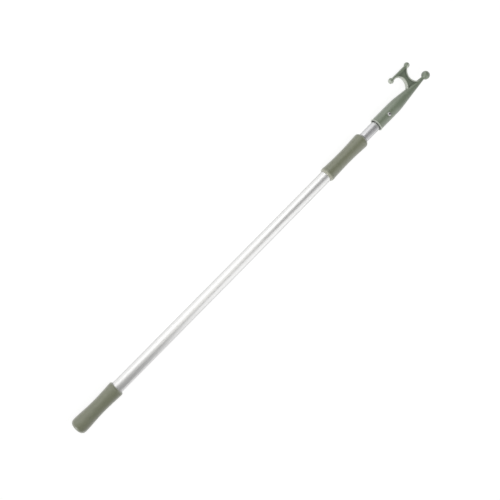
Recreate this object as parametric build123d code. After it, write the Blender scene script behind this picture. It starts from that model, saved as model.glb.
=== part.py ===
from build123d import *

# A telescopic boat hook, in millimetres: an aluminium inner tube slides in an outer one and is held by an
# eccentric cam lock, which a twist of the inner tube jams against the outer tube's bore.
#
# The pole lies along +X, and the origin is the centre of the butt end's flat face. The pole is modelled as it
# lies on a flat surface: the two grips and the fork's balls touch the surface, and the fork points to +Y.

import os
from math import asin, atan2, cos, degrees, radians, sin, sqrt, tan

# ------------------------------------------------------------------ driving sizes
# Tubes, from standard drawn aluminium sizes
OUTER_TUBE_OD = 30.0
OUTER_TUBE_WALL = 1.2
OUTER_TUBE_LENGTH = 946.0
INNER_TUBE_OD = 25.0
INNER_TUBE_WALL = 1.2
REST_GAP = 46.5  # bare inner tube between the middle grip and the hook head

# Clearances
GRIP_FIT = 0.05  # grip bore over the outer tube, on the radius
PLUG_FIT = 0.05  # plugs, bushes and seals inside a tube, on the radius
RUNNING_FIT = 0.08  # turning and sliding pairs, on the radius
END_PLAY = 0.3  # along the pole, beside a piece that turns
STOWED_GAP = 4.5  # cam lock to the butt float, with the inner tube pushed right in
PIN_FIT = 0.05  # pins and rivets in their holes, on the radius

# Butt grip: wall thicknesses over the outer tube
BUTT_GRIP_LENGTH = 128.0
BUTT_GRIP_END_WALL = 3.5
BUTT_BULGE_WALL = 5.4
BUTT_CORNER_RADIUS = 9.0
BUTT_WAIST_WALL = 2.7
BUTT_LIP_WALL = 4.8
BUTT_LIP_ROUND = 3.0

# Butt plug, its O-ring and the float beside it
BUTT_PLUG_FLANGE = 2.0
BUTT_PLUG_LENGTH = 18.0
SEAL_WIDTH = 2.6
SEAL_DEPTH = 2.0
BUTT_FLOAT_LENGTH = 20.0

# Middle grip
MID_GRIP_LENGTH = 133.0
MID_GRIP_END_WALL = 3.5
MID_BEAD_WALL = 4.3
MID_BEAD_ROUND = 7.0  # length of the bead's rounded end
MID_BEAD_LENGTH = 10.0
MID_BEAD_STEP = 0.6
MID_WAIST_WALL = 2.1
MID_TOP_WALL = 4.7
MID_SHOULDER_RADIUS = 7.0
MID_MOUTH_GAP = 0.4

# Guide bush and wiper ring in the outer tube's mouth
BUSH_LENGTH = 36.0
BUSH_FLANGE = 2.0
BUSH_SLOTS = 4
BUSH_SLOT_WIDTH = 2.0
BUSH_SLOT_LENGTH = 22.0
PEG_RADIUS = 2.2
PEG_FROM_MOUTH = 10.0
WIPER_THICKNESS = 2.0
WIPER_RIM = 1.0

# Cam lock at the inner tube's lower end
STEM_LENGTH = 34.0
STEM_FLUTES = 6
STEM_FLUTE_RADIUS = 1.6
SHOULDER_LENGTH = 4.0
FLANGE_GAP = 0.5  # spindle flanges to the outer tube's bore
JOURNAL_RADIUS = 7.0
JOURNAL_OFFSET = 1.0
CAM_LENGTH = 26.0
CAM_GAP = 0.8  # free cam to the outer tube's bore
CAM_SLOT_WIDTH = 11.0
CAM_RIBS = 24
CAM_RIB_GROOVE = 0.5
LOCK_FLANGE_LENGTH = 4.0
DRAG_RING_WIDTH = 3.0
DRAG_RING_DEPTH = 1.0
GUIDE_RING_WIDTH = 5.0
GUIDE_RING_DEPTH = 2.3
GUIDE_RING_SPLIT = 1.6
END_FLANGE_LENGTH = 2.5
PIN_RADIUS = 2.0
PIN_WALL = 0.6
PIN_SLOT = 0.8
PIN_FROM_TUBE_END = 12.0
STEM_SEAL_FROM_TUBE_END = 22.0

# Float in the inner tube, below the hook head
HEAD_FLOAT_LENGTH = 40.0
HEAD_FLOAT_FROM_TUBE_END = 32.0

# Hook head: socket, nose and tip ball. Its own lengths run from the socket's mouth.
SOCKET_WALL = 4.0
SOCKET_LENGTH = 71.5
SOCKET_DEPTH = 62.0
RIM_HEIGHT = 0.8
RIM_WIDTH = 3.0
CORE_DEPTH = 2.1  # moulded-out space between the ribs
RIB_COUNT = 8
RIB_WIDTH = 2.4
RIB_SETBACK = 6.0
RIVET_PAD_WIDTH = 11.0
RIVET_PAD_LENGTH = 20.0
NOSE_BLEND_RADIUS = 180.0
NECK_AT = 171.5
NECK_RADIUS = 4.2
NOSE_CORE_LENGTH = 42.0
NOSE_CORE_WALL = 5.0
TIP_BALL_RADIUS = 10.8
TIP_BALL_AT = 181.0
TIP_NECK_FILLET = 1.5

# Fork: an I-section web between the nose and a bar with a ball at each end
FORK_REACH = 51.8  # pole axis to the bar's middle
FORK_BALL_RADIUS = 7.2
REAR_BALL_AT = 101.3
FRONT_BALL_AT = 158.4
BAR_HEIGHT = 6.8
BAR_DEPTH = 9.5
BAR_ROUND = 2.6
FORK_ROOT_DEPTH = 12.6  # the blade thins from the pole's axis to the bar
FLANGE_THICKNESS = 3.0
WEB_THICKNESS = 3.4
FLANGE_ROUND = 0.9
REAR_NOTCH_RADIUS = 18.2
REAR_NOTCH_AT = 109.3
REAR_NOTCH_HEIGHT = 30.8
REAR_FOOT_RADIUS = 30.0  # where the rear notch runs down to the nose
FRONT_NOTCH_RADIUS = 25.0
FRONT_NOTCH_HEIGHT = 26.3
FORK_WAIST = 15.5  # between the two notches, where the fork is thinnest

# Blind rivets through the socket
RIVET_AT = 38.0
RIVET_ANGLES = (90.0, 270.0)  # from the fork, round the pole
RIVET_RADIUS = 2.4
RIVET_HEAD_RADIUS = 4.75
RIVET_HEAD_HEIGHT = 1.5
RIVET_SEAT_DEPTH = 0.9
RIVET_SEAT_MARGIN = 0.3
RIVET_BULB_RADIUS = 3.3
RIVET_BULB_LENGTH = 4.5
MANDREL_RADIUS = 1.5
MANDREL_HEAD_RADIUS = 2.1
MANDREL_HEAD_LENGTH = 1.4
MANDREL_SUNK = 1.5  # broken end below the rivet's crown

# ------------------------------------------------------------------ sizes that follow
outer_radius = OUTER_TUBE_OD / 2
outer_bore = outer_radius - OUTER_TUBE_WALL
inner_radius = INNER_TUBE_OD / 2
inner_bore = inner_radius - INNER_TUBE_WALL
socket_bore = inner_radius + PLUG_FIT
socket_radius = socket_bore + SOCKET_WALL
butt_bulge_radius = outer_radius + BUTT_BULGE_WALL
mid_top_radius = outer_radius + MID_TOP_WALL

# Places along the pole, from the butt
tube_start = BUTT_GRIP_END_WALL + BUTT_PLUG_FLANGE
tube_end = tube_start + OUTER_TUBE_LENGTH
wiper_start = tube_end + BUSH_FLANGE
wiper_end = wiper_start + WIPER_THICKNESS
mid_grip_end = wiper_end + MID_GRIP_END_WALL
mid_grip_start = mid_grip_end - MID_GRIP_LENGTH
mouth = mid_grip_end + REST_GAP
inner_end = mouth + SOCKET_DEPTH - END_PLAY

# The cam lock, counted up from the butt float, and the inner tube's lower end above it
butt_float_start = tube_start + BUTT_PLUG_LENGTH + PLUG_FIT
butt_float_end = butt_float_start + BUTT_FLOAT_LENGTH
end_flange_start = butt_float_end + STOWED_GAP + REST_GAP
end_flange_end = end_flange_start + END_FLANGE_LENGTH
guide_ring_start = end_flange_end + END_PLAY
guide_ring_end = guide_ring_start + GUIDE_RING_WIDTH
lock_flange_start = guide_ring_end + END_PLAY
lock_flange_end = lock_flange_start + LOCK_FLANGE_LENGTH
cam_start = lock_flange_end + END_PLAY
cam_end = cam_start + CAM_LENGTH
shoulder_start = cam_end + END_PLAY
inner_start = shoulder_start + SHOULDER_LENGTH

flange_radius = outer_bore - FLANGE_GAP
cam_radius = outer_bore - CAM_GAP
guide_ring_bore = outer_bore - RUNNING_FIT - GUIDE_RING_DEPTH

# The fork dips until its balls are as low as the butt grip's bulge
fork_dip = degrees(asin((butt_bulge_radius - FORK_BALL_RADIUS) / FORK_REACH))
rivet_seat = socket_radius - RIVET_SEAT_DEPTH


# ------------------------------------------------------------------ shared shapes
def rod(start, end, radius, y=0.0, z=0.0):
    """A cylinder along the pole."""
    return Pos(start, y, z) * extrude(Plane.YZ * Circle(radius), end - start)


def ring(start, end, outer, inner):
    """A plain tube along the pole."""
    return rod(start, end, outer) - rod(start, end, inner)


def turned(*outline):
    """A solid turned about the pole's axis, from the lines of its outline above the axis."""
    return revolve(make_face([edge for line in outline for edge in line.edges()]), Axis.X)


def round_pole(shape, angles):
    """Copies of a shape at the given angles round the pole's axis."""
    return [Rot(X=angle) * shape for angle in angles]


def evenly(count):
    """Angles that share a full turn evenly."""
    return [step * 360.0 / count for step in range(count)]


# ------------------------------------------------------------------ outer section
def butt_grip():
    """Closed soft grip: flat butt, full corner, waist, flared lip and a blind bore for the tube."""
    lip_radius = outer_radius + BUTT_LIP_WALL
    corner = CenterArc((BUTT_CORNER_RADIUS, butt_bulge_radius - BUTT_CORNER_RADIUS), BUTT_CORNER_RADIUS, 90, 90)
    lip_start = BUTT_GRIP_LENGTH - BUTT_LIP_ROUND
    side = Spline(
        (BUTT_CORNER_RADIUS, butt_bulge_radius),
        ((BUTT_CORNER_RADIUS + lip_start) / 2, outer_radius + BUTT_WAIST_WALL),
        (lip_start, lip_radius),
        tangents=[(1, 0), (1, 0)],
    )
    lip = CenterArc((lip_start, lip_radius - BUTT_LIP_ROUND), BUTT_LIP_ROUND, 0, 90)
    blank = turned(
        Line((0, 0), (0, butt_bulge_radius - BUTT_CORNER_RADIUS)),
        corner,
        side,
        lip,
        Line((BUTT_GRIP_LENGTH, lip_radius - BUTT_LIP_ROUND), (BUTT_GRIP_LENGTH, 0)),
        Line((BUTT_GRIP_LENGTH, 0), (0, 0)),
    )
    return blank - rod(BUTT_GRIP_END_WALL, BUTT_GRIP_LENGTH, outer_radius + GRIP_FIT)


def seal_groove(middle, radius):
    """The groove that an O-ring lies in, cut into a plug of the given radius."""
    half = SEAL_WIDTH / 2 + PLUG_FIT
    return ring(middle - half, middle + half, radius + PLUG_FIT, radius - SEAL_DEPTH)


def o_ring(middle, bore):
    """An O-ring, seated in its groove and pressed to a flattened section by the tube's bore."""
    outer = bore - PLUG_FIT / 2
    inner = bore - PLUG_FIT - SEAL_DEPTH + PLUG_FIT / 2
    blank = ring(middle - SEAL_WIDTH / 2, middle + SEAL_WIDTH / 2, outer, inner)
    return fillet(blank.edges().filter_by(GeomType.CIRCLE), (outer - inner) / 3)


butt_seal_middle = tube_start + BUTT_PLUG_LENGTH / 2


def butt_plug():
    """Nylon plug that closes the outer tube: a flange on the tube's end and a grooved body in its bore."""
    radius = outer_bore - PLUG_FIT
    plug = rod(BUTT_GRIP_END_WALL, tube_start, outer_radius) + rod(tube_start, tube_start + BUTT_PLUG_LENGTH, radius)
    lead_in = plug.edges().filter_by(GeomType.CIRCLE).sort_by(Axis.X)[-1]
    return chamfer(lead_in, 1.0) - seal_groove(butt_seal_middle, radius)


def butt_float():
    """Closed-cell foam disc beside the butt plug, which keeps the pole afloat and cushions the lock."""
    return rod(butt_float_start, butt_float_end, outer_bore - PLUG_FIT)


def outer_tube():
    """Outer tube, with a hole on each side for the guide bush's pegs."""
    tube = ring(tube_start, tube_end, outer_radius, outer_bore)
    for peg in peg_pair(PEG_RADIUS + PIN_FIT, outer_radius + 1):
        tube -= peg
    return tube


def peg_pair(radius, reach):
    """The guide bush's two pegs, from the bush's wall out to the given reach."""
    start = inner_radius + RUNNING_FIT * 2
    peg = Pos(tube_end - PEG_FROM_MOUTH, 0, start) * extrude(Circle(radius), reach - start)
    return round_pole(peg, evenly(2))


def guide_bush():
    """Nylon bush that guides the inner tube: a flange on the tube's mouth, a slotted sleeve and two snap pegs."""
    start = tube_end - BUSH_LENGTH
    sleeve_radius = outer_bore - PLUG_FIT
    bush = rod(start, tube_end, sleeve_radius) + rod(tube_end, wiper_start, outer_radius)
    slot = Pos(start + BUSH_SLOT_LENGTH / 2, 0, outer_bore / 2) * Box(BUSH_SLOT_LENGTH, BUSH_SLOT_WIDTH, outer_bore)
    for angle in evenly(BUSH_SLOTS):
        bush -= Rot(X=angle + 180.0 / BUSH_SLOTS) * slot
    peg_reach = sqrt(outer_radius**2 - PEG_RADIUS**2) - PIN_FIT
    for peg in peg_pair(PEG_RADIUS, peg_reach):
        bush += peg
    return bush - rod(start, wiper_start, inner_radius + RUNNING_FIT)


def wiper_ring():
    """Rubber wiper between the bush and the grip: a square rim with a lip that thins to the inner tube."""
    lip_radius = inner_radius + RUNNING_FIT
    rim_radius = outer_radius - WIPER_RIM - PLUG_FIT
    return turned(
        Polyline(
            (wiper_start, outer_radius),
            (wiper_end, outer_radius),
            (wiper_end, rim_radius),
            (wiper_end - WIPER_THICKNESS / 3, lip_radius),
            (wiper_start + WIPER_THICKNESS / 3, lip_radius),
            (wiper_start, rim_radius),
            close=True,
        )
    )


def mid_grip():
    """Soft grip over the outer tube's mouth: rolled bead, waist, full top and rounded shoulder."""
    bead_radius = outer_radius + MID_BEAD_WALL
    bead_top = mid_grip_start + MID_BEAD_ROUND
    bead_end = mid_grip_start + MID_BEAD_LENGTH
    step_end = bead_end + 2 * MID_BEAD_STEP
    step_radius = bead_radius - MID_BEAD_STEP
    shoulder_start_x = mid_grip_end - MID_SHOULDER_RADIUS
    shoulder_inner = mid_top_radius - MID_SHOULDER_RADIUS
    foot_radius = outer_radius + MID_BEAD_STEP
    blank = turned(
        Line((mid_grip_start, 0), (mid_grip_start, foot_radius)),
        Spline((mid_grip_start, foot_radius), (bead_top, bead_radius), tangents=[(0, 1), (1, 0)]),
        Line((bead_top, bead_radius), (bead_end, bead_radius)),
        Line((bead_end, bead_radius), (step_end, step_radius)),
        Spline(
            (step_end, step_radius),
            ((step_end + shoulder_start_x) / 2, outer_radius + MID_WAIST_WALL),
            (shoulder_start_x, mid_top_radius),
            tangents=[(1, 0), (1, 0)],
        ),
        CenterArc((shoulder_start_x, shoulder_inner), MID_SHOULDER_RADIUS, 0, 90),
        Line((mid_grip_end, shoulder_inner), (mid_grip_end, 0)),
        Line((mid_grip_end, 0), (mid_grip_start, 0)),
    )
    tube_bore = rod(mid_grip_start, wiper_end, outer_radius + GRIP_FIT)
    return blank - tube_bore - rod(wiper_end, mid_grip_end, inner_radius + MID_MOUTH_GAP)


# ------------------------------------------------------------------ cam lock
def guide_ring():
    """Split nylon ring that rides in the spindle's groove and bears on the outer tube's bore."""
    blank = ring(guide_ring_start, guide_ring_end, outer_bore - RUNNING_FIT, guide_ring_bore)
    split = Pos((guide_ring_start + guide_ring_end) / 2, 0, outer_bore) * Rot(Z=35)
    return blank - split * Box(3 * GUIDE_RING_WIDTH, GUIDE_RING_SPLIT, outer_bore)


def pin_hole(radius):
    """The cross hole through the inner tube and the spindle's stem."""
    hole = extrude(Plane.XZ * Circle(radius), inner_radius + 1, both=True)
    return Pos(inner_start + PIN_FROM_TUBE_END, 0, 0) * hole


def lock_spindle():
    """Nylon spindle: fluted stem in the inner tube, shoulder, eccentric journal, flange and grooved foot."""
    stem_radius = inner_bore - PLUG_FIT
    stem = rod(inner_start, inner_start + STEM_LENGTH, stem_radius)
    flute_length = PIN_FROM_TUBE_END - PIN_RADIUS * 2
    flute = rod(inner_start, inner_start + flute_length, STEM_FLUTE_RADIUS, z=stem_radius)
    for angle in evenly(STEM_FLUTES):
        stem -= Rot(X=angle) * flute
    stem -= seal_groove(inner_start + STEM_SEAL_FROM_TUBE_END, stem_radius)
    spindle = (
        stem
        + rod(shoulder_start, inner_start, flange_radius)
        + rod(lock_flange_end, shoulder_start, JOURNAL_RADIUS, z=JOURNAL_OFFSET)
        + rod(lock_flange_start, lock_flange_end, flange_radius)
        + rod(end_flange_end, lock_flange_start, guide_ring_bore - RUNNING_FIT)
        + rod(end_flange_start, end_flange_end, flange_radius)
    )
    return spindle - pin_hole(PIN_RADIUS + PIN_FIT)


def lock_cam():
    """C-shaped nylon cam, snapped on the journal: eccentric bore, ribbed outside and a groove for its ring."""
    cam = rod(cam_start, cam_end, cam_radius)
    groove_depth = DRAG_RING_DEPTH
    middle = (cam_start + cam_end) / 2
    half_groove = DRAG_RING_WIDTH / 2 + PLUG_FIT
    cam -= ring(middle - half_groove, middle + half_groove, cam_radius + 1, cam_radius - groove_depth)
    rib_groove = rod(cam_start, cam_end, CAM_RIB_GROOVE, z=cam_radius)
    for angle in evenly(CAM_RIBS):
        cam -= Rot(X=angle) * rib_groove
    cam -= rod(cam_start, cam_end, JOURNAL_RADIUS + RUNNING_FIT, z=JOURNAL_OFFSET)
    slot = Box(CAM_LENGTH, CAM_SLOT_WIDTH, cam_radius)
    return cam - Pos(middle, 0, JOURNAL_OFFSET + cam_radius / 2) * slot


def cam_drag_ring():
    """Rubber ring round the cam, which holds it on the journal and drags on the outer tube."""
    middle = (cam_start + cam_end) / 2
    outer = cam_radius - PLUG_FIT
    inner = cam_radius - DRAG_RING_DEPTH + PLUG_FIT
    return ring(middle - DRAG_RING_WIDTH / 2, middle + DRAG_RING_WIDTH / 2, outer, inner)


def spindle_pin():
    """Spring pin that holds the spindle in the inner tube: a rolled steel tube with a slot along it."""
    length = 2 * (inner_radius - PLUG_FIT * 3)
    pin = Circle(PIN_RADIUS) - Circle(PIN_RADIUS - PIN_WALL)
    pin -= Pos(0, PIN_RADIUS) * Rectangle(PIN_SLOT, PIN_RADIUS * 2)
    return Pos(inner_start + PIN_FROM_TUBE_END, 0, 0) * extrude(Plane.XZ * pin, length / 2, both=True)


# ------------------------------------------------------------------ inner section
def rivet_places():
    """Where each rivet's axis lies: its local Z runs out from the pole's axis."""
    return [Pos(mouth + RIVET_AT, 0, 0) * Rot(X=angle - 90 - fork_dip) for angle in RIVET_ANGLES]


def inner_tube():
    """Inner tube, with its pin hole below and its rivet holes above."""
    tube = ring(inner_start, inner_end, inner_radius, inner_bore) - pin_hole(PIN_RADIUS + PIN_FIT)
    for place in rivet_places():
        tube -= place * extrude(Circle(RIVET_RADIUS + PIN_FIT), inner_radius + 1)
    return tube


def head_float():
    """Closed-cell foam plug that seals the inner tube below the hook head."""
    end = inner_end - HEAD_FLOAT_FROM_TUBE_END
    return rod(end - HEAD_FLOAT_LENGTH, end, inner_bore - PLUG_FIT)


def fork_outline(margin=0.0):
    """The web's outline between the bar and the pole's axis, left by both notches when each grows by the margin."""
    bar_underside = FORK_REACH - BAR_HEIGHT / 2
    top = FORK_REACH - BAR_HEIGHT / 4
    width = FRONT_BALL_AT - REAR_BALL_AT
    blank = Pos((REAR_BALL_AT + FRONT_BALL_AT) / 2, top / 2) * Rectangle(width, top)
    rear_radius = REAR_NOTCH_RADIUS + margin
    foot_radius = REAR_FOOT_RADIUS + margin
    rear_wall = REAR_NOTCH_AT + REAR_NOTCH_RADIUS
    way_in = Pos(REAR_NOTCH_AT - width, bar_underside / 2) * Rectangle(2 * width, bar_underside)
    below = Pos(rear_wall, REAR_NOTCH_HEIGHT - width) * Rectangle(4 * width, 2 * width)
    foot = Pos(rear_wall - REAR_FOOT_RADIUS, REAR_NOTCH_HEIGHT) * Circle(foot_radius) & below
    rise = REAR_NOTCH_HEIGHT - FRONT_NOTCH_HEIGHT
    spacing = sqrt((REAR_NOTCH_RADIUS + FORK_WAIST + FRONT_NOTCH_RADIUS) ** 2 - rise**2)
    rear_notch = Pos(REAR_NOTCH_AT, REAR_NOTCH_HEIGHT) * Circle(rear_radius)
    front_notch = Pos(REAR_NOTCH_AT + spacing, FRONT_NOTCH_HEIGHT) * Circle(FRONT_NOTCH_RADIUS + margin)
    return blank - rear_notch - foot - way_in - front_notch


def fork():
    """Fork: flanges that line both notches, a thin web between them, the bar and its two balls."""
    taper = Polyline(
        (0, FORK_ROOT_DEPTH / 2),
        (FORK_REACH, BAR_DEPTH / 2),
        (FORK_REACH, -BAR_DEPTH / 2),
        (0, -FORK_ROOT_DEPTH / 2),
        close=True,
    )
    wedge = extrude(Plane.YZ * make_face(taper), 2 * FRONT_BALL_AT)
    blade = extrude(fork_outline(), FORK_ROOT_DEPTH / 2, both=True) & wedge
    notches = blade.faces().filter_by(GeomType.CYLINDER)
    blade = fillet(notches.edges().filter_by(GeomType.LINE, reverse=True), FLANGE_ROUND)
    below_bar = Pos(FRONT_BALL_AT / 2, 0) * Rectangle(2 * FRONT_BALL_AT, 2 * FORK_REACH - BAR_HEIGHT)
    pocket = fork_outline(FLANGE_THICKNESS) & below_bar
    for side in (1, -1):
        start = Pos(0, 0, side * (WEB_THICKNESS + FORK_ROOT_DEPTH) / 2)
        blade -= start * extrude(pocket, FORK_ROOT_DEPTH / 2, both=True)
    bar_section = Plane.YZ * RectangleRounded(BAR_HEIGHT, BAR_DEPTH, BAR_ROUND)
    blade += Pos(REAR_BALL_AT, FORK_REACH, 0) * extrude(bar_section, FRONT_BALL_AT - REAR_BALL_AT)
    for place in (REAR_BALL_AT, FRONT_BALL_AT):
        blade += Pos(place, FORK_REACH, 0) * Rot(Y=90) * Sphere(FORK_BALL_RADIUS)
    return blade


def nose():
    """Socket, tapered nose and tip ball as one turned solid."""
    slope = atan2(socket_radius - NECK_RADIUS, NECK_AT - SOCKET_LENGTH)
    blend = NOSE_BLEND_RADIUS * tan(slope / 2)
    blend_start = (SOCKET_LENGTH - blend, socket_radius)
    shoulder = JernArc(blend_start, (1, 0), NOSE_BLEND_RADIUS, -degrees(slope))
    rim_radius = socket_radius + RIM_HEIGHT
    end_slope = (TIP_BALL_AT, NECK_RADIUS - (TIP_BALL_AT - NECK_AT) * tan(slope))
    body = turned(
        Polyline(
            (0, 0),
            (0, rim_radius - RIM_HEIGHT / 2),
            (RIM_HEIGHT / 2, rim_radius),
            (RIM_WIDTH - RIM_HEIGHT / 2, rim_radius),
            (RIM_WIDTH, socket_radius),
            blend_start,
        ),
        shoulder,
        Polyline(shoulder @ 1, end_slope, (TIP_BALL_AT, 0), (0, 0)),
    )
    body += Pos(TIP_BALL_AT, 0, 0) * Sphere(TIP_BALL_RADIUS)
    neck = body.edges().filter_by(GeomType.CIRCLE).sort_by(SortBy.RADIUS)[0]
    return fillet(neck, TIP_NECK_FILLET)


def socket_hollow():
    """What the moulding core leaves: the tube's bore, the spaces between the ribs and the nose's hollow."""
    core_radius = socket_bore + CORE_DEPTH
    hollow = rod(0, SOCKET_DEPTH, core_radius)
    rib_length = SOCKET_DEPTH - RIB_SETBACK
    rib = Pos(RIB_SETBACK + rib_length / 2, 0, core_radius) * Box(rib_length, RIB_WIDTH, 2 * (core_radius - socket_bore))
    pad = Pos(RIVET_AT, 0, core_radius) * Box(RIVET_PAD_LENGTH, RIVET_PAD_WIDTH, core_radius)
    for angle in evenly(RIB_COUNT):
        hollow -= Rot(X=angle + 180.0 / RIB_COUNT) * rib
    for angle in RIVET_ANGLES:
        hollow -= Rot(X=angle - 90) * pad
    nose_core_end = SOCKET_DEPTH + NOSE_CORE_LENGTH
    end_radius = socket_radius - (socket_radius - NECK_RADIUS) * NOSE_CORE_LENGTH / (NECK_AT - SOCKET_LENGTH)
    nose_core = turned(
        Polyline(
            (SOCKET_DEPTH, 0),
            (SOCKET_DEPTH, inner_bore - INNER_TUBE_WALL),
            (nose_core_end, end_radius - NOSE_CORE_WALL),
            (nose_core_end, 0),
            close=True,
        )
    )
    return hollow + rod(0, SOCKET_DEPTH, socket_bore) + nose_core


def hook_head():
    """Nylon hook head: ribbed socket, hollow nose, tip ball and fork, with flat seats for the rivets."""
    head = nose() + fork() - socket_hollow()
    for angle in RIVET_ANGLES:
        seat = Pos(0, 0, rivet_seat) * extrude(Circle(RIVET_HEAD_RADIUS + RIVET_SEAT_MARGIN), SOCKET_WALL)
        hole = extrude(Circle(RIVET_RADIUS + PIN_FIT), socket_radius)
        head -= Pos(RIVET_AT, 0, 0) * Rot(X=angle - 90) * (seat + hole)
    return Pos(mouth, 0, 0) * Rot(X=-fork_dip) * head


bulb_top = sqrt(inner_bore**2 - RIVET_BULB_RADIUS**2) - PIN_FIT
bulb_bottom = bulb_top - RIVET_BULB_LENGTH


def rivet_body():
    """Blind rivet: domed head, shank and the bulb that pulling the mandrel forms inside the tube."""
    head_sphere = (RIVET_HEAD_RADIUS**2 + RIVET_HEAD_HEIGHT**2) / (2 * RIVET_HEAD_HEIGHT)
    dome = Pos(0, 0, rivet_seat + RIVET_HEAD_HEIGHT - head_sphere) * Sphere(head_sphere)
    head_blank = Pos(0, 0, rivet_seat) * extrude(Circle(RIVET_HEAD_RADIUS), RIVET_HEAD_HEIGHT)
    shank = Pos(0, 0, bulb_top) * extrude(Circle(RIVET_RADIUS), rivet_seat - bulb_top)
    bulb = Pos(0, 0, bulb_bottom) * extrude(Circle(RIVET_BULB_RADIUS), RIVET_BULB_LENGTH)
    bulb = fillet(bulb.edges(), RIVET_BULB_RADIUS - RIVET_RADIUS)
    bore = extrude(Circle(MANDREL_RADIUS + PIN_FIT), rivet_seat + RIVET_HEAD_HEIGHT)
    return (head_blank & dome) + shank + bulb - bore


def rivet_mandrel():
    """The steel mandrel that stays in a pulled rivet: its head under the bulb and its broken stub."""
    head = Pos(0, 0, bulb_bottom - MANDREL_HEAD_LENGTH) * extrude(Circle(MANDREL_HEAD_RADIUS), MANDREL_HEAD_LENGTH)
    stub_top = rivet_seat + RIVET_HEAD_HEIGHT - MANDREL_SUNK
    return head + Pos(0, 0, bulb_bottom) * extrude(Circle(MANDREL_RADIUS), stub_top - bulb_bottom)


# ------------------------------------------------------------------ build and write
upper_rivet, lower_rivet = rivet_places()
nodes = {
    "butt_grip": butt_grip(),
    "butt_plug": butt_plug(),
    "butt_plug_seal": o_ring(butt_seal_middle, outer_bore),
    "butt_float": butt_float(),
    "outer_tube": outer_tube(),
    "guide_bush": guide_bush(),
    "wiper_ring": wiper_ring(),
    "mid_grip": mid_grip(),
    "guide_ring": guide_ring(),
    "lock_spindle": lock_spindle(),
    "lock_cam": lock_cam(),
    "cam_drag_ring": cam_drag_ring(),
    "spindle_seal": o_ring(inner_start + STEM_SEAL_FROM_TUBE_END, inner_bore),
    "spindle_pin": spindle_pin(),
    "inner_tube": inner_tube(),
    "head_float": head_float(),
    "hook_head": hook_head(),
    "head_rivet_upper": upper_rivet * rivet_body(),
    "head_rivet_lower": lower_rivet * rivet_body(),
    "rivet_mandrel_upper": upper_rivet * rivet_mandrel(),
    "rivet_mandrel_lower": lower_rivet * rivet_mandrel(),
}

os.makedirs("parts", exist_ok=True)
for name, shape in nodes.items():
    export_step(shape, f"parts/{name}.step")
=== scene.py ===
import math

import bpy
from mathutils import Matrix, Vector


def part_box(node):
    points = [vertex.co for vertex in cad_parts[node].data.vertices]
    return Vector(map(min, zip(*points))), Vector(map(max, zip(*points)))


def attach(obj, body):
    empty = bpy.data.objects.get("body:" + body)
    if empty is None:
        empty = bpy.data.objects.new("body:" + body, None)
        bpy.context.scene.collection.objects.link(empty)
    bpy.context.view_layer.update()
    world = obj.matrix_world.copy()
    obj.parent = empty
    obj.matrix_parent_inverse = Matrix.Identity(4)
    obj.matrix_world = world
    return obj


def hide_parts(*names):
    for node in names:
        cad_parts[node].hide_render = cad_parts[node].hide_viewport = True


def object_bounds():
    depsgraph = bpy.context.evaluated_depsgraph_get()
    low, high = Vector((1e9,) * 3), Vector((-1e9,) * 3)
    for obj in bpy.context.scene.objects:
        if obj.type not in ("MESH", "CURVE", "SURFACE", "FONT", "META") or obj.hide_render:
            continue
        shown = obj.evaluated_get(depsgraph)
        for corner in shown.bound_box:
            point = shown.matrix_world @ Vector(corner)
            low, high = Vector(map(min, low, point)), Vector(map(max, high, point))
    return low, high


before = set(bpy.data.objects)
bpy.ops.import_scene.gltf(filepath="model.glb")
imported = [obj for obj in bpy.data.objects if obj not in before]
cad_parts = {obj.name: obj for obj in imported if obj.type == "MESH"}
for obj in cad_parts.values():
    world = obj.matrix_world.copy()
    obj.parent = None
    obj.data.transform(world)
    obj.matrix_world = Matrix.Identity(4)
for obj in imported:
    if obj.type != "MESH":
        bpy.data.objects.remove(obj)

cad_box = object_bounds()
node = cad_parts

# ---------------------------------------------------------------- camera
# A 50 mm lens looks down on the middle of the pole from the fork's side, about 30 degrees from straight above.
# It stands a little towards the butt, so that the hook is farther away, and it is rolled so that the pole runs
# from the lower left to the upper right.
bpy.ops.object.select_all(action="DESELECT")
aim_along, aim_across = 0.5687, 0.0049
reach = 1.6426
lean = math.radians(7.09)
roll = math.radians(45.35)
to_fork_side = math.radians(29.6)
bpy.ops.object.camera_add()
camera = bpy.context.object
camera.name = "photographers_camera"
camera.data.lens = 50
camera.data.sensor_width = 36
camera.matrix_world = (
    Matrix.Rotation(-to_fork_side, 4, "X")
    @ Matrix.Translation((aim_along - reach * math.sin(lean), aim_across, reach * math.cos(lean)))
    @ Matrix.Rotation(-lean, 4, "Y")
    @ Matrix.Rotation(-roll, 4, "Z")
)
bpy.context.scene.camera = camera

# ---------------------------------------------------------------- floor
# A round cove of matt white board, on whose floor the two grips and the fork's balls rest. It shows as plain
# white, also in the bright tubes, and keeps a faint soft shadow under the pole.
pole_middle = 0.6
gap_under_pole = 0.0002
floor_level = cad_box[0][2] - gap_under_pole
wall_radius, wall_height = 12, 3.5
cove_radius, cove_steps = 2, 8
flat_radius = 8
cove_rings = [(wall_radius, cove_radius)]
for step in range(1, cove_steps + 1):
    turned = math.radians(90 * step / cove_steps)
    drawn_in = cove_radius * (1 - math.cos(turned))
    cove_rings.append((wall_radius - drawn_in, cove_radius * (1 - math.sin(turned))))
cove_rings.append((flat_radius, 0))

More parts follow.
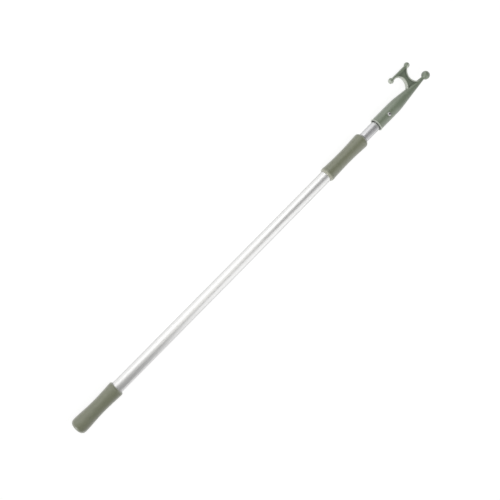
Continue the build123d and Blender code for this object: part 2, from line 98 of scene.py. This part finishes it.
bpy.ops.mesh.primitive_circle_add(vertices=96, radius=wall_radius,
                                  location=(pole_middle, 0, floor_level + wall_height))
floor = bpy.context.object
floor.name = "white_board"
bpy.ops.object.transform_apply(location=True)
bpy.ops.object.mode_set(mode="EDIT")
bpy.ops.mesh.select_all(action="SELECT")
ring_radius, ring_height = wall_radius, wall_height
for radius, height in cove_rings:
    bpy.ops.mesh.extrude_region_move(TRANSFORM_OT_translate={"value": (0, 0, height - ring_height)})
    bpy.ops.transform.resize(value=(radius / ring_radius, radius / ring_radius, 1),
                             center_override=(pole_middle, 0, 0))
    ring_radius, ring_height = radius, height
bpy.ops.mesh.edge_face_add()
bpy.ops.mesh.select_all(action="SELECT")
bpy.ops.mesh.normals_make_consistent(inside=True)
bpy.ops.object.mode_set(mode="OBJECT")
bpy.ops.object.shade_smooth()


def fill(tree, socket, value):
    """Links another node's output to a socket, or sets a plain value on it."""
    if isinstance(value, bpy.types.NodeSocket):
        tree.links.new(value, socket)
    else:
        socket.default_value = value


def grown(tree, kind, *first, **named):
    """A node of that kind. Its first sockets take values or outputs in order; a named one goes to the property
    or the socket of that name."""
    made = tree.nodes.new(kind)
    for name, value in named.items():
        if hasattr(made, name):
            setattr(made, name, value)
        else:
            fill(tree, made.inputs[name.replace("_", " ")], value)
    for socket, value in zip(made.inputs, first):
        fill(tree, socket, value)
    return made


def reckoned(tree, operation, *values):
    """What one sum makes of outputs and plain numbers."""
    return grown(tree, "ShaderNodeMath", *values, operation=operation).outputs[0]


def where_any(tree, mask, *more):
    """The strongest of several masks."""
    for other in more:
        mask = reckoned(tree, "MAXIMUM", mask, other)
    return mask


board = bpy.data.materials.new("matt_white_board")
board.use_nodes = True
board_tree = board.node_tree
board_tree.nodes.clear()
ray = grown(board_tree, "ShaderNodeLightPath").outputs
seen = where_any(board_tree, ray["Is Camera Ray"], ray["Is Glossy Ray"], ray["Is Transmission Ray"])
paper = grown(board_tree, "ShaderNodeBsdfDiffuse", Color=(0.8, 0.8, 0.8, 1))
shaded = grown(board_tree, "ShaderNodeBsdfDiffuse", Color=(0.25, 0.25, 0.25, 1))
white = grown(board_tree, "ShaderNodeEmission", Strength=0.86)
shown = grown(board_tree, "ShaderNodeAddShader", shaded.outputs[0], white.outputs[0])
either = grown(board_tree, "ShaderNodeMixShader", seen, paper.outputs[0], shown.outputs[0])
grown(board_tree, "ShaderNodeOutputMaterial", either.outputs[0])
floor.data.materials.append(board)

# ---------------------------------------------------------------- studio light
# A long softbox stands low beside the fork, another leans over the front half's other side, and the gap between
# the two draws the dull line along the tubes. A narrow one carries on over the back half, a warm one hangs over
# the middle, and one stands far past the butt.
room = bpy.data.worlds.new("grey_studio")
bpy.context.scene.world = room
room.use_nodes = True
room.node_tree.nodes["Background"].inputs["Color"].default_value = (0.31, 0.31, 0.31, 1)


def softbox(name, middle, length, height, brightness, aimed_at):
    """A rectangle of even light, its length along the pole, facing the pole that far from the butt.
    A brightness of 1 shows as white in a mirror."""
    lamp = bpy.data.lights.new(name, "AREA")
    lamp.shape = "RECTANGLE"
    lamp.size, lamp.size_y = length, height
    lamp.energy = brightness * math.pi * length * height
    box = bpy.data.objects.new(name, lamp)
    bpy.context.scene.collection.objects.link(box)
    back = (Vector(middle) - Vector((aimed_at, 0, 0))).normalized()
    across = back.cross(Vector((1, 0, 0))).normalized()
    along = across.cross(back)
    box.matrix_world = Matrix.Translation(middle) @ Matrix((along, across, back)).transposed().to_4x4()
    box.visible_camera = False
    return box


softbox("softbox_fork_side", (0.64, 1.09, 0.50), 2.2, 0.96, brightness=0.98, aimed_at=0.64)
softbox("softbox_far_side", (1.05, -0.82, 0.90), 1.3, 1.70, brightness=0.87, aimed_at=1.05)
softbox("softbox_far_side_dim", (0.24, -0.82, 0.90), 0.32, 1.50, brightness=0.85, aimed_at=0.24)
warm = softbox("softbox_over_middle", (0.34, 0.79, 1.83), 1.36, 1.35, brightness=0.80, aimed_at=0.34)
warm.data.color = (1, 0.985, 0.94)
softbox("softbox_butt_end", (-6.00, 1.00, 1.00), 3.0, 1.8, brightness=8.0, aimed_at=1.10)
bpy.context.scene.view_settings.view_transform = "Standard"

# ---------------------------------------------------------------- grips
# Each grip is a sleeve of soft grey-green vinyl, dipped on a waisted former and pushed over the outer tube.
# The butt grip is closed by a round-edged base, and the middle grip has a bead at its back and a round
# shoulder in front.
grip_bore = 0.01505


def pull_ring_by_ring(name, rings, sides, closed):
    """One circle round the pole, extruded and scaled along it: a ring is (distance from the butt, radius)."""
    bpy.ops.object.select_all(action="DESELECT")
    place, radius = rings[0]
    bpy.ops.mesh.primitive_circle_add(vertices=sides, radius=radius, fill_type="NGON" if closed else "NOTHING",
                                      location=(place, 0, 0), rotation=(0, math.pi / 2, 0))
    piece = bpy.context.object
    piece.name = piece.data.name = name
    bpy.ops.object.transform_apply(location=True, rotation=True)
    bpy.ops.object.mode_set(mode="EDIT")
    bpy.ops.mesh.select_all(action="SELECT")
    for ahead, size in rings[1:]:
        bpy.ops.mesh.extrude_region_move(TRANSFORM_OT_translate={"value": (ahead - place, 0, 0)})
        bpy.ops.transform.resize(value=(1, size / radius, size / radius), center_override=(ahead, 0, 0))
        place, radius = ahead, size
    if not closed:
        bpy.ops.mesh.select_all(action="DESELECT")
        bpy.ops.mesh.select_non_manifold()
        bpy.ops.mesh.bridge_edge_loops()
    bpy.ops.mesh.select_all(action="SELECT")
    bpy.ops.mesh.normals_make_consistent(inside=False)
    bpy.ops.object.mode_set(mode="OBJECT")
    return piece


def rounded_by_subdivision(piece, levels):
    """Smooths a sleeve's rings into a soft skin."""
    smooth = piece.modifiers.new("smooth_skin", "SUBSURF")
    smooth.levels = smooth.render_levels = levels
    bpy.ops.object.modifier_apply(modifier=smooth.name)
    bpy.ops.object.shade_smooth()


butt_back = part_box("butt_grip")[0][0]
butt_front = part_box("butt_grip")[1][0]
butt_rings = [
    (butt_back, 0.0060), (butt_back, 0.0112), (butt_back + 0.0003, 0.0128), (butt_back + 0.0027, 0.0172),
    (butt_back + 0.0063, 0.0196), (butt_back + 0.0105, 0.0204), (butt_back + 0.020, 0.0202),
    (butt_back + 0.038, 0.0190), (butt_back + 0.055, 0.0180), (butt_back + 0.067, 0.0177),
    (butt_back + 0.080, 0.0178), (butt_back + 0.098, 0.0185), (butt_back + 0.115, 0.01945),
    (butt_front - 0.0062, 0.0199), (butt_front - 0.0032, 0.0196), (butt_front - 0.0012, 0.0187),
    (butt_front - 0.0002, 0.0172), (butt_front, 0.0159), (butt_front - 0.0008, grip_bore),
    (butt_front - 0.004, grip_bore), (butt_back + 0.008, grip_bore), (butt_back + 0.0037, grip_bore),
    (butt_back + 0.0035, 0.0148), (butt_back + 0.0035, 0.0060),
]
butt_grip = pull_ring_by_ring("butt_grip_sleeve", butt_rings, sides=48, closed=True)
rounded_by_subdivision(butt_grip, levels=2)

mid_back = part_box("mid_grip")[0][0]
mid_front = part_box("mid_grip")[1][0]
mouth = 0.0129
mid_rings = [
    (mid_back + 0.0001, 0.0156), (mid_back + 0.0006, 0.0170), (mid_back + 0.0022, 0.0185),
    (mid_back + 0.0050, 0.0192), (mid_back + 0.0085, 0.0193), (mid_back + 0.0102, 0.0191),
    (mid_back + 0.0110, 0.0188), (mid_back + 0.0122, 0.0187), (mid_back + 0.022, 0.0182),
    (mid_back + 0.045, 0.0174), (mid_back + 0.0686, 0.0171), (mid_back + 0.090, 0.0177),
    (mid_back + 0.112, 0.0190), (mid_front - 0.009, 0.0197), (mid_front - 0.0066, 0.0191),
    (mid_front - 0.0046, 0.0178), (mid_front - 0.0028, 0.0157), (mid_front - 0.0010, 0.0140),
    (mid_front, 0.0134), (mid_front - 0.0002, mouth), (mid_front - 0.0017, mouth), (mid_front - 0.0033, mouth),
    (mid_front - 0.0035, 0.0132), (mid_front - 0.0035, 0.0148), (mid_front - 0.0036, grip_bore),
    (mid_front - 0.006, grip_bore), (mid_back + 0.003, grip_bore), (mid_back + 0.0003, grip_bore),
]
mid_grip = pull_ring_by_ring("mid_grip_sleeve", mid_rings, sides=48, closed=False)
rounded_by_subdivision(mid_grip, levels=2)


def colour(red, green, blue):
    """The shader's linear value of a colour mixed on a 0 to 255 chart."""
    def linear(c):
        c = c / 255
        return c / 12.92 if c <= 0.04045 else ((c + 0.055) / 1.055) ** 2.4
    return (linear(red), linear(green), linear(blue), 1)


def effect(name, inputs):
    """A new shader node group that puts out a colour, a roughness and a height, with the sockets of what it is
    given and of what it puts out."""
    group = bpy.data.node_groups.new(name, "ShaderNodeTree")
    for title, kind, value in inputs:
        group.interface.new_socket(title, in_out="INPUT", socket_type=kind).default_value = value
    group.interface.new_socket("Colour", in_out="OUTPUT", socket_type="NodeSocketColor")
    for title in ("Roughness", "Height"):
        group.interface.new_socket(title, in_out="OUTPUT", socket_type="NodeSocketFloat")
    return group, group.nodes.new("NodeGroupInput").outputs, group.nodes.new("NodeGroupOutput").inputs


def surface_place(tree):
    """The point of the surface, in the shared frame."""
    return grown(tree, "ShaderNodeTexCoord").outputs["Object"]


def noise(tree, place, **settings):
    """Clouds from 0 to 1 over the surface."""
    return grown(tree, "ShaderNodeTexNoise", place, **settings).outputs["Fac"]


def drawn_out(tree, place, along):
    """A place with its distance along the pole scaled, so that what follows it is stretched that way."""
    return grown(tree, "ShaderNodeMapping", place, Scale=(along, 1, 1)).outputs[0]


def stepped(tree, value, low, high, start=0, end=1, kind="SMOOTHSTEP"):
    """Start where a value is under low and end where it is over high."""
    return grown(tree, "ShaderNodeMapRange", value, low, high, start, end, interpolation_type=kind).outputs[0]


def blended(tree, amount, under, over, how="MIX"):
    """One colour laid over another by an amount."""
    mix = grown(tree, "ShaderNodeMix", amount, data_type="RGBA", blend_type=how)
    lower, upper = (socket for socket in mix.inputs if socket.type == "RGBA")
    fill(tree, lower, under)
    fill(tree, upper, over)
    return next(socket for socket in mix.outputs if socket.type == "RGBA")


# Moulded skin: cloudy tone, a fine pebble from the mould, and scuffs where hands and decks rub it.
skin, given, result = effect(
    "moulded_skin",
    [("Colour", "NodeSocketColor", (0.3, 0.3, 0.25, 1)),
     ("Rubbed Colour", "NodeSocketColor", (0.4, 0.4, 0.35, 1)),
     ("Pebble Size", "NodeSocketFloat", 900), ("Cloud", "NodeSocketFloat", 0.12),
     ("Scuffs", "NodeSocketFloat", 0.3), ("Roughness", "NodeSocketFloat", 0.5)],
)
place = surface_place(skin)
clouds = noise(skin, place, Scale=55, Detail=4, Roughness=0.6)
grain = noise(skin, place, Scale=2600, Detail=2)
pebble = grown(skin, "ShaderNodeTexVoronoi", place, feature="SMOOTH_F1", Scale=given["Pebble Size"],
               Smoothness=0.6)
scuff = noise(skin, drawn_out(skin, place, 0.35), Scale=210, Detail=6, Roughness=0.72, Distortion=0.4)
scuffs = reckoned(skin, "MULTIPLY", stepped(skin, scuff, 0.56, 0.72, kind="LINEAR"), given["Scuffs"])
cloud_amount = reckoned(skin, "MULTIPLY", clouds, given["Cloud"])
clouded = blended(skin, cloud_amount, given["Colour"], (0.45, 0.45, 0.45, 1), how="MULTIPLY")
fill(skin, result["Colour"], blended(skin, scuffs, clouded, given["Rubbed Colour"]))
cloudy_roughness = reckoned(skin, "MULTIPLY_ADD", clouds, 0.12, given["Roughness"])
fill(skin, result["Roughness"], reckoned(skin, "MULTIPLY_ADD", scuffs, 0.18, cloudy_roughness))
fill(skin, result["Height"], reckoned(skin, "MULTIPLY_ADD", grain, 0.25, pebble.outputs["Distance"]))


def finished_with(name, group, settings, bump_height, **shader_values):
    """A material whose colour, roughness and bump come from that group; plain values sit on its shader."""
    made = bpy.data.materials.new(name)
    made.use_nodes = True
    tree = made.node_tree
    shader = tree.nodes["Principled BSDF"]
    pattern = grown(tree, "ShaderNodeGroup", node_tree=group, **settings).outputs
    relief = grown(tree, "ShaderNodeBump", Height=pattern["Height"], Distance=bump_height, Strength=1.0)
    fill(tree, shader.inputs["Base Color"], pattern["Colour"])
    fill(tree, shader.inputs["Roughness"], pattern["Roughness"])
    fill(tree, shader.inputs["Normal"], relief.outputs[0])
    for key, value in shader_values.items():
        fill(tree, shader.inputs[key.replace("_", " ")], value)
    return made


def distance(tree, place, middle=(0, 0, 0), across=(1, 1, 1)):
    """How far a place is from a middle; across says which of its coordinates count."""
    moved = grown(tree, "ShaderNodeVectorMath", place, middle, operation="SUBTRACT")
    flat = grown(tree, "ShaderNodeVectorMath", moved.outputs[0], across, operation="MULTIPLY")
    return grown(tree, "ShaderNodeVectorMath", flat.outputs[0], operation="LENGTH").outputs["Value"]


def recoloured(tree, *layers):
    """Lays colours over a material's own, each as (amount, colour, way of blending)."""
    base = tree.nodes["Principled BSDF"].inputs["Base Color"]
    shown = base.links[0].from_socket
    for amount, over, how in layers:
        shown = blended(tree, amount, shown, over, how)
    fill(tree, base, shown)


grip_vinyl = finished_with(
    "grey_green_vinyl", skin,
    {"Colour": colour(108, 113, 82), "Rubbed Colour": colour(142, 147, 118), "Pebble Size": 1400,
     "Cloud": 0.25, "Scuffs": 0.25, "Roughness": 0.42},
    bump_height=0.00006, IOR=1.5, Specular_IOR_Level=1.0, Coat_Weight=0.8, Coat_Roughness=0.35,
    Sheen_Weight=0.8, Sheen_Roughness=0.5,
)
# The middle grip's bead carries a painted highlight, pale at its back and fading out forwards, and both front
# rims carry a dark line of painted shade where they meet their tubes.
vinyl = grip_vinyl.node_tree
place = surface_place(vinyl)
along_grip = grown(vinyl, "ShaderNodeSeparateXYZ", place).outputs["X"]
# painted highlight on the bead: strongest up to 3.5 mm from its back, gone 7.5 mm forwards
bead_highlight_fades = stepped(vinyl, along_grip, mid_back + 0.0035, mid_back + 0.0075, start=0.42, end=0)
bead = reckoned(vinyl, "MULTIPLY", bead_highlight_fades, reckoned(vinyl, "GREATER_THAN", along_grip, mid_back - 0.001))
rim_reach = 0.004
at_rims = [reckoned(vinyl, "COMPARE", along_grip, rim_at, rim_reach) for rim_at in (butt_front, mid_front)]
near_tube = stepped(vinyl, distance(vinyl, place, across=(0, 1, 1)), 0.0152, 0.0170, start=0.85, end=0)
# painted shade: a dark line on each front rim next to its tube
rim_painted_shade = reckoned(vinyl, "MULTIPLY", where_any(vinyl, *at_rims), near_tube)
# lays the bead's painted highlight and the rims' painted shade over the vinyl's own colour
recoloured(vinyl, (bead, colour(206, 205, 186), "MIX"), (rim_painted_shade, colour(34, 36, 30), "MIX"))
for sleeve, carried in ((butt_grip, "butt_grip"), (mid_grip, "mid_grip")):
    sleeve.data.materials.append(grip_vinyl)
    node[carried].material_slots[0].material = grip_vinyl
    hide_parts(carried)
    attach(sleeve, "outer_section")

# ---------------------------------------------------------------- tubes
# Two drawn aluminium tubes of standard size, polished and clear anodised, and cut square with a light deburr.
# Drawing leaves fine lines along them, and sliding wears long faint scratches into the inner one.
edge_break = 0.00025


def tube(name, carried, bore, body):
    """A tube where the solid one is, with its four cut edges broken."""
    low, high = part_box(carried)
    wall = high[2]
    rings = [(low[0], wall), (high[0], wall), (high[0], bore), (low[0], bore)]
    piece = pull_ring_by_ring(name, rings, sides=128, closed=False)
    deburr = piece.modifiers.new("deburred", "BEVEL")
    deburr.width = edge_break
    deburr.segments = 2
    deburr.limit_method = "ANGLE"
    deburr.angle_limit = math.radians(60)
    bpy.ops.object.modifier_apply(modifier=deburr.name)
    bpy.ops.object.shade_smooth_by_angle(angle=math.radians(35))
    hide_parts(carried)
    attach(piece, body)
    return piece


outer_tube = tube("outer_tube_drawn", "outer_tube", bore=0.0138, body="outer_section")
inner_tube = tube("inner_tube_drawn", "inner_tube", bore=0.0113, body="inner_section")

drawn, given, result = effect(
    "drawn_lines",
    [("Colour", "NodeSocketColor", (0.8, 0.8, 0.8, 1)),
     ("Dull Colour", "NodeSocketColor", (0.6, 0.6, 0.6, 1)),
     ("Lines", "NodeSocketFloat", 0.3), ("Scratches", "NodeSocketFloat", 0.3),
     ("Roughness", "NodeSocketFloat", 0.25)],
)
place = surface_place(drawn)
fine = noise(drawn, drawn_out(drawn, place, 0.004), Scale=1500, Detail=3, Roughness=0.6)
bands = noise(drawn, drawn_out(drawn, place, 0.03), Scale=260, Detail=3)
haze = noise(drawn, place, Scale=16, Detail=5, Roughness=0.65)
scratch = noise(drawn, drawn_out(drawn, place, 0.02), Scale=700, Detail=2, Roughness=0.5)
scratches = reckoned(drawn, "MULTIPLY", stepped(drawn, scratch, 0.66, 0.74, kind="LINEAR"), given["Scratches"])
lines = reckoned(drawn, "MULTIPLY", bands, given["Lines"])
dulled = reckoned(drawn, "MULTIPLY_ADD", scratches, 0.5, lines)
fill(drawn, result["Colour"], blended(drawn, dulled, given["Colour"], given["Dull Colour"]))
roughness = given["Roughness"]
for roughened_by, amount in ((fine, 0.10), (haze, 0.10), (scratches, 0.12)):
    roughness = reckoned(drawn, "MULTIPLY_ADD", roughened_by, amount, roughness)
fill(drawn, result["Roughness"], roughness)
fill(drawn, result["Height"], reckoned(drawn, "SUBTRACT", fine, scratches))

outer_metal = finished_with(
    "clear_anodised_aluminium", drawn,
    {"Colour": colour(240, 240, 239), "Dull Colour": colour(214, 214, 214), "Lines": 0.35, "Scratches": 0.25,
     "Roughness": 0.30},
    bump_height=0.000012, Metallic=1.0, Specular_Tint=(0.45, 0.45, 0.45, 1),
)
inner_metal = finished_with(
    "bright_drawn_aluminium", drawn,
    {"Colour": colour(230, 230, 231), "Dull Colour": colour(186, 186, 188), "Lines": 0.4, "Scratches": 0.5,
     "Roughness": 0.27},
    bump_height=0.000012, Metallic=1.0, Specular_Tint=(0.45, 0.45, 0.45, 1),
)
outer_tube.data.materials.append(outer_metal)
inner_tube.data.materials.append(inner_metal)
node["outer_tube"].material_slots[0].material = outer_metal
node["inner_tube"].material_slots[0].material = inner_metal

# ---------------------------------------------------------------- hook head
# The double hook is one injection moulding in glass-filled nylon: a socket for the inner tube, a tapering neck
# with a ball at its end, and a fork of I section with a ball at each end of its bar.
head_nylon = finished_with(
    "grey_green_nylon", skin,
    {"Colour": colour(109, 124, 98), "Rubbed Colour": colour(150, 163, 140), "Pebble Size": 1900,
     "Cloud": 0.22, "Scuffs": 0.2, "Roughness": 0.34},
    bump_height=0.00003, IOR=1.53, Specular_IOR_Level=1.0, Coat_Weight=0.8, Coat_Roughness=0.3,
    Sheen_Weight=0.6, Sheen_Roughness=0.5,
)
# The fork's flanges, its rear ball and the socket's rim carry a painted highlight, and the web between the
# flanges carries painted shade, darkest in its corners with the nose, the notches and the bar. Both follow the
# fork's own axes, which are turned round the pole from the floor's: x from the socket's mouth, y up the fork and
# z across it.
socket_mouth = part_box("hook_head")[0][0]
fork_dip = math.radians(14.76)
nose_radius_at_mouth, nose_taper = 0.02538, -0.1235
rear_notch, front_notch = (0.1093, 0.0308, 0), (0.1678, 0.0263, 0)
rear_foot_middle = (0.0975, 0.0308, 0)
rear_ball_middle = (0.1013, 0.0518, 0)
head = head_nylon.node_tree


def fork_place(tree, from_mouth=0):
    """The point of the surface by the fork's own axes, with x from that far past the socket's mouth."""
    return grown(tree, "ShaderNodeMapping", surface_place(tree), Location=(-socket_mouth - from_mouth, 0, 0),
                 Rotation=(fork_dip, 0, 0)).outputs[0]


def up_to(value, low, high):
    """1 where a distance on the fork is under low and 0 where it is over high."""
    return stepped(head, value, low, high, start=1, end=0)


def where_all(tree, mask, *more):
    """What several masks leave of each other."""
    for other in more:
        mask = reckoned(tree, "MULTIPLY", mask, other)
    return mask


place = fork_place(head)
along_fork, up_fork = grown(head, "ShaderNodeSeparateXYZ", place).outputs[:2]
from_rear_notch = distance(head, place, rear_notch, across=(1, 1, 0))
from_front_notch = distance(head, place, front_notch, across=(1, 1, 0))
from_rear_foot = distance(head, place, rear_foot_middle, across=(1, 1, 0))
nose_radius = reckoned(head, "MULTIPLY_ADD", along_fork, nose_taper, nose_radius_at_mouth)
off_nose = reckoned(head, "SUBTRACT", distance(head, place, across=(0, 1, 1)), nose_radius)
above_nose = stepped(head, off_nose, 0.0004, 0.0012)

rear_flange = up_to(from_rear_notch, 0.0208, 0.0213)
rear_foot = where_all(head, up_to(from_rear_foot, 0.0321, 0.0328), up_to(up_fork, 0.0300, 0.0308))
front_flange = where_all(head, up_to(from_front_notch, 0.0276, 0.0281), up_to(along_fork, 0.1600, 0.1620))
flanges = where_any(head, rear_flange, rear_foot, front_flange)
rear_ball = where_all(head, up_to(distance(head, place, rear_ball_middle), 0.0074, 0.0078),
                      up_to(along_fork, 0.0975, 0.1005))
socket_rim = up_to(along_fork, 0.0026, 0.0031)
# painted highlight: the rear ball and the socket's rim at 0.6, the flanges' faces above the nose at 0.85
ends_painted_highlight = reckoned(head, "MULTIPLY", where_any(head, rear_ball, socket_rim), 0.6)
fork_painted_highlight = reckoned(head, "MULTIPLY_ADD", where_all(head, flanges, above_nose), 0.85, ends_painted_highlight)

web_face = up_to(distance(head, place, across=(0, 0, 1)), 0.0019, 0.0027)
under_bar = up_to(up_fork, 0.0484, 0.0492)
web = where_all(head, web_face, above_nose, under_bar, reckoned(head, "SUBTRACT", 1, flanges))
corners = where_any(head, up_to(off_nose, 0.0006, 0.0026), up_to(from_front_notch, 0.0285, 0.0300),
                    up_to(from_rear_notch, 0.0217, 0.0232), stepped(head, up_fork, 0.0462, 0.0480))
# painted shade on the web: light everywhere on it, strong in its corners with the nose, notches and bar
web_painted_shade = where_all(head, web, reckoned(head, "MULTIPLY_ADD", corners, 0.68, 0.2))
# multiplies the web's painted shade in and lays the fork's painted highlight over it
recoloured(head, (web_painted_shade, (0.25, 0.26, 0.25, 1), "MULTIPLY"), (fork_painted_highlight, colour(194, 200, 186), "MIX"))
node["hook_head"].material_slots[0].material = head_nylon

# ---------------------------------------------------------------- rivets
# Two blind rivets through the socket hold the inner tube: soft aluminium bodies with dished heads, each with the
# broken end of its steel mandrel deep in the hole, coloured near-black as painted shade, and painted shade round
# it.
rivet_from_mouth = 0.038
rivet_metal = finished_with(
    "soft_rivet_aluminium", drawn,
    {"Colour": colour(214, 214, 214), "Dull Colour": colour(150, 150, 152), "Lines": 0.4, "Scratches": 0.4,
     "Roughness": 0.28},
    bump_height=0.00001, Metallic=1.0,
)
# painted shade: the mandrel's steel is coloured near-black, far darker than bare steel, so the deep hole shows
# dark
mandrel_steel = finished_with(
    "dark_mandrel_steel", drawn,
    {"Colour": colour(34, 33, 33), "Dull Colour": colour(20, 20, 20), "Lines": 0.5, "Scratches": 0.3,
     "Roughness": 0.6},
    bump_height=0.00001, Metallic=0.2,
)
rivet = rivet_metal.node_tree
from_rivet_axis = distance(rivet, fork_place(rivet, rivet_from_mouth), across=(1, 1, 0))
# painted shade: a dark disc round the hole, full within 1.6 mm of the rivet's axis, gone at 2.4 mm
hole_painted_shade = stepped(rivet, from_rivet_axis, 0.0016, 0.0024, start=1, end=0)
recoloured(rivet, (hole_painted_shade, colour(26, 25, 25), "MIX"))
for side in ("upper", "lower"):
    node["head_rivet_" + side].material_slots[0].material = rivet_metal
    node["rivet_mandrel_" + side].material_slots[0].material = mandrel_steel

# ---------------------------------------------------------------- inside the pole
# Moulded nylon bushes and plugs, a rubber wiper, rubber seals and foam floats close and carry the tubes, and the
# cam lock turns on a spindle that a steel spring pin holds in the inner tube's end.
moulded_inside = {
    "guide_bush": ("black_bush_nylon", (38, 38, 40), (70, 70, 72)),
    "butt_plug": ("grey_plug_nylon", (92, 94, 92), (125, 127, 124)),
    "wiper_ring": ("black_wiper_rubber", (34, 34, 36), (64, 64, 66)),
    "guide_ring": ("white_guide_nylon", (214, 212, 202), (190, 188, 180)),
    "lock_spindle": ("white_spindle_nylon", (222, 220, 210), (196, 194, 186)),
    "lock_cam": ("black_cam_nylon", (42, 42, 44), (78, 78, 80)),
}
for name, (finish, body_colour, rubbed_colour) in moulded_inside.items():
    node[name].material_slots[0].material = finished_with(
        finish, skin,
        {"Colour": colour(*body_colour), "Rubbed Colour": colour(*rubbed_colour), "Pebble Size": 2200,
         "Cloud": 0.2, "Scuffs": 0.4, "Roughness": 0.34},
        bump_height=0.00002, IOR=1.53,
    )
seal_rubber = finished_with(
    "black_seal_rubber", skin,
    {"Colour": colour(24, 24, 25), "Rubbed Colour": colour(52, 52, 54), "Pebble Size": 3000,
     "Cloud": 0.3, "Scuffs": 0.5, "Roughness": 0.6},
    bump_height=0.00002, IOR=1.5,
)
for name in ("butt_plug_seal", "spindle_seal", "cam_drag_ring"):
    node[name].material_slots[0].material = seal_rubber
float_foam = finished_with(
    "closed_cell_foam", skin,
    {"Colour": colour(225, 223, 214), "Rubbed Colour": colour(200, 197, 186), "Pebble Size": 620,
     "Cloud": 0.15, "Scuffs": 0.3, "Roughness": 0.8},
    bump_height=0.00035, IOR=1.4,
)
for name in ("butt_float", "head_float"):
    node[name].material_slots[0].material = float_foam
node["spindle_pin"].material_slots[0].material = finished_with(
    "spring_pin_steel", drawn,
    {"Colour": colour(176, 177, 180), "Dull Colour": colour(110, 111, 114), "Lines": 0.4, "Scratches": 0.5,
     "Roughness": 0.3},
    bump_height=0.00001, Metallic=1.0,
)
